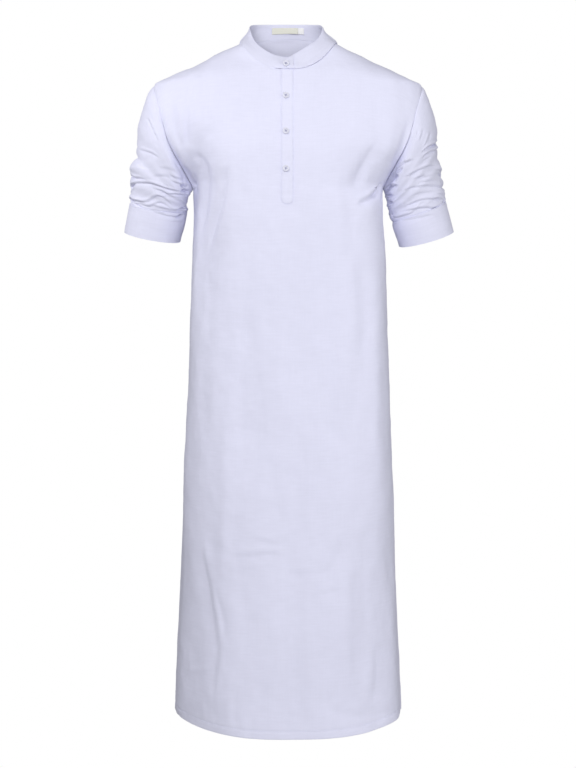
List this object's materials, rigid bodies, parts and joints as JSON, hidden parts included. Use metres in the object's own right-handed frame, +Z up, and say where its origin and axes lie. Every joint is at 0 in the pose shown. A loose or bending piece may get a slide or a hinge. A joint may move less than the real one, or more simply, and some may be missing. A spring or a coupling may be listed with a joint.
{
  "type": "thobe robe",
  "caption": "Long cotton robe with a low stand collar, a buttoned half placket, pushed-up sleeves with plain cuffs and a curved hem, in its hollow worn form.",
  "frame": {"origin": "midway between the two points where the shoulder seams meet the neck seam, on the seam plane of front and back; it is where the wearer's shoulders carry the robe", "axes": "+Z up, front faces -Y, +X towards the wearer's left"},
  "size_m": [0.6042, 0.3227, 1.2818],
  "materials": {
    "cotton": "matt slubbed plain weave",
    "label": "satin weave tape",
    "button": "pearl sheen"
  },
  "bodies": {
    "root": {"front_panel": "cotton", "back_panel": "cotton", "sleeve_right": "cotton", "sleeve_left": "cotton", "cuff_right": "cotton", "cuff_left": "cotton", "collar_band": "cotton", "placket_over": "cotton", "placket_under": "cotton", "neck_label": "label", "size_tab": "label", "button_1": "button", "button_2": "button", "button_3": "button", "button_4": "button"}
  },
  "joints": []
}
